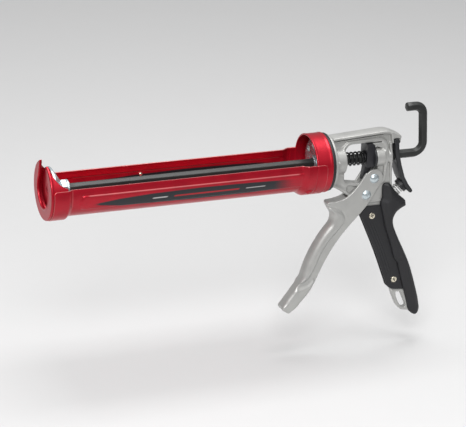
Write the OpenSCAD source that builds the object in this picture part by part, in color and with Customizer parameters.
// Sealant gun with a revolving half-round cradle, a hex push rod and a pistol grip.
// The x axis is the barrel axis, from the nozzle end (x = 0) towards the hook, and +z is up.

/* [Barrel] */
// Inner radius of the cradle, a little over a 50 mm cartridge
cradle_r = 25.8; // [25.4:0.1:27.5]
// Sheet thickness of the cradle
sheet = 1; // [0.8:0.1:1.4]
// Distance from the front face to the rear face of the collar
barrel_len = 289.5; // [240:0.5:350]
// Height of the cradle's rims above the barrel axis
rim_z = 7.2; // [4:0.1:9]
// Sleeve wall of the front cap and of the rear collar
sleeve_wall = 1.2; // [1:0.1:1.6]
// Length of the front cap's sleeve
cap_len = 17; // [14:0.5:24]
// Thickness of the front cap's end plate
cap_plate = 2.2; // [1.6:0.1:3]
// Radius of the nozzle opening
nozzle_r = 17.3; // [14:0.1:18]
// Length of the collar's closed ring
collar_len = 16.6; // [12:0.1:20]
// Height that the side panels are pressed out
panel_out = 0.8; // [0.4:0.1:1.2]

/* [Frame] */
// Half thickness of the casting's web
web_half = 3; // [2.4:0.1:3.4]
// Half thickness of the raised rims around the web
rim_half = 3.8; // [3.5:0.1:3.9]
// Half width of the flange along the top bar
top_half = 7.5; // [6:0.1:9]
// Radius of the flange behind the barrel
flange_r = 27.4; // [25:0.1:29]
// Radius of the boss that seats the drive spring
seat_r = 14; // [12:0.1:16]
// Radius of the boss that guides the rod at the back
guide_r = 9.7; // [8.5:0.1:11]
// Radius of the spigot that carries the collar
spigot_r = 16; // [14.5:0.1:17]

/* [Rod] */
// Size of the hexagonal rod across its flats
rod_af = 8.4; // [7.5:0.1:9]
// Clearance between the rod's corners and what it slides in
rod_gap = 0.2; // [0.1:0.05:0.4]
// Inner radius of the rod's lower bend, on its centre line
bend_r = 11; // [10:0.5:14]
// Height of the hook's top arm above the rod
hook_h = 49.4; // [40:0.5:60]
// Length of the hook's top arm
hook_arm = 9.6; // [8:0.5:20]

/* [Piston] */
// Radius of the piston
piston_r = 22.5; // [20:0.1:24.5]

/* [Trigger] */
// Gap between the cheeks' inner faces and the middle plane
cheek_in = 4.3; // [4.2:0.1:4.8]
// Thickness of a cheek
cheek_t = 2.4; // [2:0.1:3.2]
// Radius of the two rivets' shanks
pin_r = 3; // [2.4:0.1:3.2]
// Radius of the roller that pushes the drive block
roller_r = 3.7; // [3.5:0.1:4]

/* [Grip] */
// Half thickness of the casting inside the grip
core_half = 2; // [1.6:0.1:2.4]
// Half width of the soft back of the grip
back_half = 10; // [8:0.1:13]

/* [Release lever] */
// Half width of the release lever
lever_half = 9; // [7.5:0.1:10]
// Thickness of the release lever
lever_t = 4; // [3:0.1:4.4]

/* [Hidden] */
$fn = 96;

red = "firebrick";
silver = "silver";
zinc = "lightsteelblue";
black = [0.12, 0.12, 0.13];
grey = [0.25, 0.25, 0.27];

run_gap = 0.05;      // radial clearance of a running fit
side_gap = 0.1;      // clearance between faces that turn past each other
eps = 0.01;

// barrel, from its driving sizes
cradle_out = cradle_r + sheet;
sleeve_in = cradle_r + 1.8;              // inner radius of the cap's sleeve
sleeve_out = sleeve_in + sleeve_wall;
collar_in = cradle_r + 2.8;
collar_out = collar_in + sleeve_wall;
cap_rim = sleeve_out + 0.5;
collar_x0 = barrel_len - collar_len;      // front edge of the closed ring
tuck_x0 = collar_x0 - 10.5;               // front edge of its half-round tongue
joggle = 5;                               // length over which the sheet steps out
tab_front = 3;                            // front edge of the cradle's front tab
tab_rear = collar_x0 + 10;                // rear edge of its rear tab
collar_wall = 2.6;                        // thickness of the collar's end wall
pressed = [joggle + cap_len + 6, tuck_x0 - joggle - 1];   // ends of the pressed side panels

// stations behind the barrel
ring_x0 = barrel_len + side_gap;
flange_x0 = barrel_len + 2.5;
flange_t = 4;
plate_t = 1.6;
washer_t = 3.6;
wall_x0 = barrel_len - collar_wall;       // front face of the collar's end wall
spigot_x0 = wall_x0 - side_gap - washer_t;
seat_x1 = flange_x0 + 19.6;               // rear face of the spring seat boss
seat_floor = flange_x0 + 8;
bar_x0 = flange_x0 + 63.5;                // front face of the rear bar
bar_x1 = bar_x0 + 7.5;
back_x = flange_x0 + 54;                  // front face of the guide boss
rod_ac = rod_af / cos(30);
rod_bore = rod_ac / 2 + rod_gap;
bush_wall = 1.5;

// trigger and drive
fulcrum = [flange_x0 + 45, -38];
push_at = fulcrum + [8, 17];
cheek_out = cheek_in + cheek_t;
block_x0 = flange_x0 + 43;
block_x1 = block_x0 + 8.4;
grip_y = rod_bore + 0.95;                 // half width and half height of the gripping plates
grip_z = rod_bore + 1.45;
leg_x1 = push_at[0] - roller_r - 0.3;
spring_r = rod_ac / 2 + 1.45;             // mean radius of the drive spring
wire_r = 0.75;

// release lever
lever_top = [flange_x0 + 75, 16.5];
bead_r = 2.9;
spring_dir = [-0.77, -0.64];
spring_top = lever_top + [11.6, -49.2];
release_len = 9.6;

// --- helpers -------------------------------------------------------------

// turn a shape built along +z so that it runs along +x from x
module along(x = 0) {
    translate([x, 0, 0]) rotate([0, 90, 0]) children();
}

// turned ring, r0 to r1, from x0 to x1
module ring(x0, x1, r0, r1) {
    along(x0) difference() {
        cylinder(h = x1 - x0, r = r1);
        translate([0, 0, -1]) cylinder(h = x1 - x0 + 2, r = r0);
    }
}

// revolve a profile of [x, radius] points about the barrel axis
module turned(points) {
    rotate([0, 90, 0]) rotate_extrude() polygon([for (p = points) [p[1], p[0]]]);
}

// plate in the middle plane, from y0 to y1, with an outline of [x, z] points
module plate(points, y0, y1) {
    translate([0, y1, 0]) rotate([90, 0, 0]) linear_extrude(y1 - y0) polygon(points);
}

// pin across the object at [x, z]
module cross_pin(at, r, y0, y1) {
    translate([at[0], y1, at[1]]) rotate([90, 0, 0]) cylinder(h = y1 - y0, r = r);
}

// domed head on a cross pin, its flat side at y, outwards along side = -1 or 1
module dome(at, y, side, r, h) {
    translate([at[0], y, at[1]]) rotate([side * -90, 0, 0])
        rotate_extrude() intersection() {
            translate([0, h - (r * r + h * h) / (2 * h)]) circle(r = (r * r + h * h) / (2 * h));
            square([r, h]);
        }
}

// coil of round wire along +z, as one closed tube
function coil_point(r, h, turns, k, n) =
    let (a = 360 * turns * k / n) [r * cos(a), r * sin(a), h * k / n];
function coil_ring(r, h, turns, k, n, wire, m) =
    let (a = 360 * turns * k / n, c = coil_point(r, h, turns, k, n))
    [for (j = [0 : m - 1]) let (b = 360 * j / m)
        c + wire * (cos(b) * [cos(a), sin(a), 0] + sin(b) * [0, 0, 1])];
module coil(r, h, turns, wire, per_turn = 18, m = 6) {
    n = ceil(turns * per_turn);
    points = [for (k = [0 : n]) each coil_ring(r, h, turns, k, n, wire, m)];
    sides = [for (k = [0 : n - 1], j = [0 : m - 1])
        let (a = k * m + j, b = k * m + (j + 1) % m) [a, b, b + m, a + m]];
    polyhedron(points, concat(sides, [[for (j = [m - 1 : -1 : 0]) j]],
        [[for (j = [0 : m - 1]) n * m + j]]), convexity = 10);
}

// keep what lies below the cradle's rims
module below_rims() {
    difference() {
        children();
        translate([-10, -50, rim_z]) cube([barrel_len + 20, 100, 60]);
    }
}

// --- revolving barrel ----------------------------------------------------

module pressed_panels() {
    intersection() {
        ring(pressed[0], pressed[1], cradle_out - eps, cradle_out + panel_out);
        translate([0, -40, -13.5]) cube([barrel_len, 80, 14]);
    }
}

module cradle() {
    color(red) difference() {
        below_rims() union() {
            turned([[tab_front, sleeve_out], [cap_len, sleeve_out], [cap_len + joggle, cradle_r],
                [tuck_x0 - joggle, cradle_r], [tuck_x0, collar_out], [tab_rear, collar_out],
                [tab_rear, collar_out + sheet], [tuck_x0, collar_out + sheet],
                [tuck_x0 - joggle, cradle_out], [cap_len + joggle, cradle_out],
                [cap_len, sleeve_out + sheet], [tab_front, sleeve_out + sheet]]);
            pressed_panels();
        }
        // sight hole in the far wall
        cross_pin([108, -4.2], 1.5, 10, 40);
        rivet_places() cylinder(h = 12, r = 1.6, center = true);
    }
}

// the nozzle opening, a circle that narrows to a gap between two horns
module nozzle_shape() {
    along(-1) linear_extrude(cap_plate + 2) union() {
        circle(r = nozzle_r);
        polygon([[-6, -nozzle_r + 2.4], [-6, nozzle_r - 2.4], [-cap_rim - 2, 8], [-cap_rim - 2, -8]]);
    }
}

module front_cap() {
    color(red) difference() {
        turned([[0, 0], [0, cap_rim - 1.6], [0.5, cap_rim - 0.5], [1.6, cap_rim], [2.7, cap_rim],
            [2.9, sleeve_out], [cap_len, sleeve_out], [cap_len, sleeve_in],
            [cap_plate + 1, sleeve_in], [cap_plate, sleeve_in - 1], [cap_plate, 0]]);
        nozzle_shape();
        // the sleeve is swept down from the horns to the rims
        translate([cap_plate + 21.4, 50, 29.7]) rotate([90, 0, 0]) cylinder(h = 100, r = 21.4);
        translate([cap_plate + 21, -50, 8.3]) cube([60, 100, 60]);
    }
}

// places of the two rivets that hold the cradle to the collar's tongue
module rivet_places() {
    for (s = [-1, 1]) translate([tuck_x0 + 5, 0, 0]) rotate([s * 45, 0, 0])
        translate([0, 0, -collar_out - sheet / 2]) children();
}

module rear_collar() {
    color(red) difference() {
        union() {
            ring(collar_x0, barrel_len - eps, collar_in, collar_out);
            below_rims() ring(tuck_x0, collar_x0 + 1, collar_in, collar_out);
            turned([[wall_x0, 0], [wall_x0, collar_out - eps], [barrel_len - 1.2, collar_out],
                [barrel_len, collar_out - 1.2], [barrel_len, 0]]);
        }
        along(wall_x0 - 1) cylinder(h = collar_wall + 2, r = spigot_r + run_gap);
        rivet_places() cylinder(h = 12, r = 1.6, center = true);
    }
}

module cradle_rivets() {
    color(red) rivet_places() {
        translate([0, 0, -sheet / 2 - 1.4]) cylinder(h = 1.4, r1 = 2.2, r2 = 4);
        translate([0, 0, -sheet / 2 - eps]) cylinder(h = sheet + sleeve_wall + eps, r = 1.6);
    }
}

// --- frame ---------------------------------------------------------------

// outline of the web from the flange to the loop, as [x, z] from the flange's front face
web_top = [[2, 25], [60, 28.6], [66, 28.2], [70.4, 26.3], [77.6, 23.1], [80.2, 21.6], [79.2, 14.4]];
web_back = [[71.2, 14.4], [73.6, -31], [78, -37.2], [74, -50],
    [73, -62], [76, -76], [85, -98], [94.6, -122], [102, -147], [106.6, -168]];
web_bottom = [[103, -172], [92.2, -170], [87.4, -165], [83.5, -156.5], [79.5, -146]];
web_front = [[75, -142], [72.4, -134.5], [60.6, -103.4], [47.9, -74.8], [40.6, -59.4], [41, -52],
    [36, -44], [28.4, -39.3], [22.8, -35.5], [14.8, -29.3], [5.9, -24.1], [2, -22]];
window = [[20.5, -20.5], [22, -22.6], [38, -25.2], [44, -26.2], [59, -26.2], [57, -24],
    [57, -guide_r - 0.8], [63.5, -guide_r - 0.8], [63.5, 14], [60.5, 17.2], [25.5, 16.7], [20.5, 12]];

function from_flange(points) = [for (p = points) [p[0] + flange_x0, p[1]]];

module body_casting() {
    color(silver) difference() {
        union() {
            // web, in full thickness above the grip and thin inside it
            intersection() {
                plate(from_flange(concat(web_top, web_back, web_bottom, web_front)),
                    -rim_half, rim_half);
                union() {
                    translate([flange_x0, -web_half, -51]) cube([120, 2 * web_half, 90]);
                    translate([flange_x0, -core_half, -180]) cube([120, 2 * core_half, 140]);
                    // raised rims: top bar, nose, rear bar and lower front edge
                    translate([flange_x0, -rim_half, 17]) cube([90, 2 * rim_half, 20]);
                    translate([bar_x0 + 2.6, -rim_half, -50]) cube([30, 2 * rim_half, 79.6]);
                    plate(from_flange([[0, -19], [22, -31], [32, -39], [40, -60], [-5, -60], [-5, -19]]),
                        -rim_half, rim_half);
                    // loop for a lanyard
                    translate([flange_x0 + 75, -web_half, -180])
                        cube([40, 2 * web_half, 32]);
                }
            }
            // flange along the top bar
            plate(from_flange([[1, 22.2], [60, 25.8], [66, 25.4], [70.4, 23.6], [70.4, 26.3],
                [66, 28.2], [60, 28.6], [1, 25]]), -top_half, top_half);
            // nose over the release lever
            plate(from_flange([[66, 20], [71.2, 14.4], [79.2, 14.4], [80.2, 21.6], [77.6, 23.1], [70.4, 26.3], [66, 25]]),
                -top_half, top_half);
            along(flange_x0) cylinder(h = flange_t, r = flange_r);
            along(flange_x0 + 1) cylinder(h = seat_x1 - flange_x0 - 1, r = seat_r);
            along(spigot_x0) cylinder(h = flange_x0 - spigot_x0 + 1, r = spigot_r);
            // boss that guides the rod
            along(back_x) cylinder(h = bar_x0 - back_x + 3, r = guide_r);
            // lug beside the spring seat
            translate([flange_x0 + flange_t - 1, -16, -4]) cube([8, 10, 8]);
        }
        window_cut();
        along(spigot_x0 - 1) cylinder(h = 40, r = rod_bore);
        along(spigot_x0 - 1) cylinder(h = 13, r = rod_bore + bush_wall);
        along(back_x - 1) cylinder(h = 60, r = rod_bore + bush_wall);
        along(seat_floor) cylinder(h = seat_x1 - seat_floor + 1, r = spring_r + wire_r + 1);
        cross_pin(fulcrum, pin_r + run_gap, -20, 20);
        lever_groove();
        loop_slot();
        screw_holes(2.05);
        for (a = [30, 150, 270]) rotate([a, 0, 0]) translate([spigot_x0 - 1, 0, spigot_r - 4.4])
            rotate([0, 90, 0]) cylinder(h = 9, r = 1.6);
    }
}

// the window goes round the boss that guides the rod
module window_cut() {
    difference() {
        plate(from_flange(window), -30, 30);
        along(back_x) cylinder(h = 30, r = guide_r);
    }
}

module lever_groove() {
    translate([lever_top[0] - bead_r - 0.3, -20, 5])
        cube([2 * bead_r + 0.6, 40, lever_top[1] - 5]);
    cross_pin(lever_top, bead_r + run_gap, -20, 20);
}

module loop_slot() {
    plate(from_flange([[85.2, -149], [91.2, -150], [98, -165.5], [97, -167.2], [94.5, -167.4],
        [91.4, -165.6], [86.3, -155.7]]), -20, 20);
}

screw_places = [[54.1, -62.5], [82.5, -135]];
module screw_holes(r) {
    for (p = from_flange(screw_places)) cross_pin(p, r, -30, 30);
}

module friction_ring() {
    color(black) ring(ring_x0, flange_x0, spigot_r + eps, flange_r + 0.3);
}

module thrust_washer() {
    color("ivory") ring(spigot_x0, spigot_x0 + washer_t, spigot_r + eps, collar_in - 3);
}

module retaining_plate() {
    color(zinc) difference() {
        ring(spigot_x0 - plate_t, spigot_x0, rod_bore + bush_wall + eps, collar_in - 4);
        for (a = [0 : 60 : 300]) rotate([a, 0, 0]) translate([spigot_x0 - 5, 0, collar_in - 9.5])
            rotate([0, 90, 0]) cylinder(h = 9, r = 3.2);
        for (a = [30, 150, 270]) rotate([a, 0, 0]) translate([spigot_x0 - 5, 0, spigot_r - 4.4])
            rotate([0, 90, 0]) cylinder(h = 9, r = 1.6);
    }
}

module retaining_screws() {
    color(zinc) for (a = [30, 150, 270]) rotate([a, 0, 0])
        translate([spigot_x0 - plate_t, 0, spigot_r - 4.4]) rotate([0, 90, 0]) {
            translate([0, 0, -1.6]) cylinder(h = 1.6, r = 2.8);
            translate([0, 0, -eps]) cylinder(h = 8, r = 1.55);
        }
}

module front_bush() {
    color(zinc) {
        ring(spigot_x0 - plate_t - 3, spigot_x0 - plate_t, rod_bore, rod_bore + 2.4);
        ring(spigot_x0 - plate_t - eps, spigot_x0 + 12, rod_bore, rod_bore + bush_wall);
    }
}

module rear_bush() {
    color(zinc) ring(back_x, bar_x1 + 0.5, rod_bore, rod_bore + bush_wall);
}

// outline of the hard front panels
panel_outline = [[40.8, -59.4], [47.7, -51.2], [63, -51.2], [70, -74], [82, -104], [93, -134],
    [96, -147.2], [79.8, -145.4], [75.1, -142.1], [72.4, -134.5], [60.6, -103.4], [47.9, -74.8]];
panel_half = rim_half;

module grip_panel(y0, y1) {
    color(black) difference() {
        plate(from_flange(panel_outline), y0, y1);
        screw_holes(2.05);
    }
}
module grip_panel_left() { grip_panel(-panel_half, -core_half); }
module grip_panel_right() { grip_panel(core_half, panel_half); }

// outline of the soft back: the wavy front edge, then the tail and the thumb rest
rubber_outline = [[65, -28], [63.2, -31.6], [63.8, -43.8], [61.8, -47.4], [62.6, -52], [66.5, -67],
    [68.4, -76], [74.6, -92], [79.2, -107.6], [80.8, -112], [84, -114.8], [85.6, -121], [91, -139.7],
    [96.8, -157.1], [99.8, -169.8], [103.5, -174.6], [108, -177], [111.4, -175.4],
    [113, -169.5], [110.6, -159.1], [104.9, -139.4], [97.8, -117.6], [88.8, -98.9], [81.2, -83.8],
    [77, -73.5], [76.4, -67], [79.8, -60.3], [84, -57], [90.4, -54.2], [89.4, -48.4], [87.6, -46.6],
    [81.2, -42.4], [73, -30], [70.6, -28]];

module grip_rubber() {
    color(black) difference() {
        plate(from_flange(rubber_outline), -back_half, back_half);
        plate(from_flange(panel_outline), -panel_half - eps, panel_half + eps);
        plate(from_flange(concat([[50, 15]], web_back, web_bottom, web_front)),
            -rim_half - eps, rim_half + eps);
    }
}

module grip_screws() {
    color("tan") for (p = from_flange(screw_places)) {
        cross_pin(p, 3.2, -panel_half - 0.15, -panel_half);
        cross_pin(p, 2, -panel_half - eps, panel_half - 0.4);
    }
}

module grip_nuts() {
    color("tan") for (p = from_flange(screw_places))
        cross_pin(p, 3.2, panel_half, panel_half + 0.15);
}

module drive_spring() {
    color(black) translate([seat_floor + wire_r, 0, 0]) rotate([0, 90, 0])
        coil(spring_r, block_x0 - seat_floor - 2 * wire_r, 7, wire_r);
}

// frame with its z axis along the release spring, from the lever's face to the grip
module on_release_axis() {
    translate([spring_top[0], 0, spring_top[1]])
        rotate([0, 180 + atan2(-spring_dir[0], -spring_dir[1]), 0]) children();
}

module release_spring() {
    color(zinc) on_release_axis() translate([0, 0, 0.6])
        coil(5.4, release_len - 1.2, 4.5, 0.5, 16);
}

// --- rod -----------------------------------------------------------------

rod_x0 = 25;                              // shoulder behind the piston's washer
hook_x = flange_x0 + 96.4;                // where the lower bend starts
lean = 3.4;                               // how far past square the lower bend goes
top_r = 9;

// centre line of the rod as [x, z, direction], straight, then round two bends
function bend(from, r, turn, n = 10) = [for (k = [1 : n]) let (a = from[2], b = a + turn * k / n)
    [from[0] + r * (sin(b) - sin(a)), from[1] - r * (cos(b) - cos(a)), b]];
function go_on(from, d) = [from[0] + d * cos(from[2]), from[1] + d * sin(from[2]), from[2]];
function last(list) = list[len(list) - 1];
lower_bend = bend([hook_x, 0, 0], bend_r, 90 + lean);
hook_rise = (hook_h - last(lower_bend)[1] - top_r * (1 - sin(lean))) / cos(lean);
upper_bend = bend(go_on(last(lower_bend), hook_rise), top_r, 90 - lean);
rod_line = concat([[rod_x0, 0, 0], [hook_x, 0, 0]], lower_bend,
    [go_on(last(lower_bend), hook_rise)], upper_bend, [go_on(last(upper_bend), hook_arm)]);

// hexagonal bar swept along its centre line, with corners up and down
module hex_bar(line, r_c) {
    n = len(line);
    points = [for (p = line, j = [0 : 5]) let (h = r_c * cos(60 * j), y = r_c * sin(60 * j))
        [p[0] - h * sin(p[2]), y, p[1] + h * cos(p[2])]];
    sides = [for (k = [0 : n - 2], j = [0 : 5], t = [0, 1])
        let (a = 6 * k + j, b = 6 * k + (j + 1) % 6)
        t == 0 ? [a, b + 6, a + 6] : [a, b, b + 6]];
    polyhedron(points, concat(sides, [[for (j = [5 : -1 : 0]) j]],
        [[for (j = [0 : 5]) 6 * (n - 1) + j]]), convexity = 6);
}

module push_rod() {
    color(grey) {
        along(11.5) cylinder(h = rod_x0 - 8.5, r = 4);
        hex_bar(rod_line, rod_ac / 2);
    }
}

module piston_plate() {
    color(zinc) turned([[6.2, piston_r], [8.4, piston_r], [9, piston_r - 1], [17, 9.2], [17.6, 9],
        [17.6, 4], [16, 4], [16, 8.4], [8, piston_r - 2], [6.2, piston_r - 1.4]]);
}

module piston_nut() {
    color(zinc) difference() {
        along(17.6) cylinder(h = 5.8, r = 9, $fn = 6);
        along(16) cylinder(h = 9, r = 4);
    }
}

module piston_washer() { color(zinc) ring(23.4, rod_x0, 4, 8.6); }

module piston_end_nut() {
    color(zinc) difference() {
        along(11) cylinder(h = 5, r = 7, $fn = 6);
        along(10) cylinder(h = 9, r = 4);
    }
}

// --- trigger -------------------------------------------------------------

// side view, as [x, z] from the flange's front face
trigger_back = [[61.4, -23], [59.5, -27.7], [52.5, -39.8], [46.4, -49.9], [38.1, -58.7],
    [28.8, -68.4], [18.4, -81.3], [8.2, -96.4], [0.2, -111.7], [-5.7, -125.2], [-10.7, -135.5],
    [-18, -144.4], [-26.4, -152.2], [-34.6, -157.4]];
trigger_front = [[-41, -153.4], [-41.4, -150.6], [-37.5, -144.3], [-30.3, -135.3],
    [-23.5, -126.3], [-21.1, -119], [-17.3, -106.4], [-10.4, -90.9], [-0.2, -74.7], [8.1, -64.9],
    [9.5, -59.7], [8.6, -54.2], [5, -46.8], [2.8, -43.8], [4, -42.2], [11.5, -42.2],
    [21.8, -39.9], [27.1, -36.2], [32.3, -31.4], [38.5, -23.6], [44, -14.5]];
channel = [[23.2, -28], [23.2, -41.5], [20, -45], [12.4, -47.5], [12.8, -54], [13.4, -61],
    [11, -67.4], [3.4, -77.2], [-6, -92.4], [-13, -107.8], [-17, -121], [-19.6, -128], [-27, -137.4],
    [-16, -150], [10, -135], [70, -60], [75, -30], [75, 10], [30, 10]];

module trigger_lever() {
    color(silver) difference() {
        union() {
            plate(from_flange(concat(trigger_back, trigger_front)), -cheek_out, cheek_out);
            cross_pin(push_at, 9.6, -cheek_out, cheek_out);
        }
        plate(from_flange(channel), -cheek_in, cheek_in);
        cross_pin(push_at, pin_r, -20, 20);
        cross_pin(fulcrum, pin_r, -20, 20);
    }
}

module rivet(at) {
    cross_pin(at, pin_r, -cheek_out - eps, cheek_out + eps);
    dome(at, -cheek_out, -1, 5, 2.4);
    dome(at, cheek_out, 1, 5, 2.4);
}
module fulcrum_rivet() { color(zinc) rivet(fulcrum); }
module push_pin() { color(zinc) rivet(push_at); }

module push_roller() {
    color(zinc) difference() {
        cross_pin(push_at, roller_r, -cheek_in + side_gap, cheek_in - side_gap);
        cross_pin(push_at, pin_r, -20, 20);
    }
}

// --- drive ---------------------------------------------------------------

module drive_block() {
    color(black) difference() {
        union() {
            plate([[block_x0, -8], [block_x1, -8], [block_x1, 14], [block_x1 - 1.5, 16.2],
                [block_x0, 16.2]], -8, 8);
            plate([[block_x0 - 1.5, -22.3], [leg_x1, -22.3], [leg_x1, -12], [block_x1, -7.9],
                [block_x0, -7.9]], -3.6, 3.6);
        }
        along(block_x0 - 1) cylinder(h = 40, r = rod_bore);
        // pocket of the gripping plates
        translate([block_x0 + 2, -grip_y - side_gap, -grip_z - side_gap])
            cube([5.2, 2 * (grip_y + side_gap), 2 * (grip_z + side_gap)]);
    }
}

module grip_plates() {
    color(zinc) for (k = [0 : 2]) translate([block_x0 + 2 + 1.7 * k, 0, 0]) difference() {
        translate([0, -grip_y, -grip_z]) cube([1.5, 2 * grip_y, 2 * grip_z]);
        along(-1) cylinder(h = 4, r = rod_bore - 0.1);
    }
}

module back_plate() {
    color(black) difference() {
        ring(block_x1, back_x - 0.3, rod_bore, 11.4);
        translate([block_x1 - 1, -20, -28]) cube([6, 40, 20]);
    }
}

// --- release lever -------------------------------------------------------

// centre line of the lever below its bead, as [x, z] from the bead's centre
lever_line = [[0, 0], [1, -13], [4.2, -26], [8.4, -39.2], [13, -47.6], [17.6, -53.8]];

function lever_side(points, offset) = [for (k = [0 : len(points) - 1])
    let (a = points[max(k - 1, 0)], b = points[min(k + 1, len(points) - 1)],
        t = (b - a) / norm(b - a)) points[k] + offset * [-t[1], t[0]]];

module release_lever() {
    half = lever_t / 2;
    front = lever_side(lever_line, -half);
    rear = [for (k = [len(lever_line) - 1 : -1 : 0]) lever_side(lever_line, half)[k]];
    color(grey) difference() {
        union() {
            plate([for (p = concat(front, rear)) p + lever_top], -lever_half, lever_half);
            cross_pin(lever_top, bead_r, -lever_half, lever_half);
            cross_pin(lever_top + lever_line[5], half, -lever_half, lever_half);
        }
        // seat of the spring cup
        on_release_axis() translate([0, 0, -1.2]) cylinder(h = 4.6, r = 7.2);
        // slot for the rod, long enough for the lever to swing
        along(lever_top[0] - 10) cylinder(h = 30, r = rod_bore + 0.7);
        translate([lever_top[0] - 10, -rod_bore - 0.7, -1.2])
            cube([30, 2 * rod_bore + 1.4, 2.4]);
    }
}

module spring_cup() {
    color(black) on_release_axis() translate([0, 0, -1.2]) difference() {
        cylinder(h = 4.6, r = 7.2);
        translate([0, 0, 1.4]) cylinder(h = 6, r = 6.2);
    }
}

cradle();
front_cap();
rear_collar();
cradle_rivets();
body_casting();
friction_ring();
thrust_washer();
retaining_plate();
retaining_screws();
front_bush();
rear_bush();
grip_panel_left();
grip_panel_right();
grip_rubber();
grip_screws();
grip_nuts();
drive_spring();
release_spring();
push_rod();
piston_plate();
piston_nut();
piston_washer();
piston_end_nut();
trigger_lever();
fulcrum_rivet();
push_pin();
push_roller();
drive_block();
grip_plates();
back_plate();
release_lever();
spring_cup();
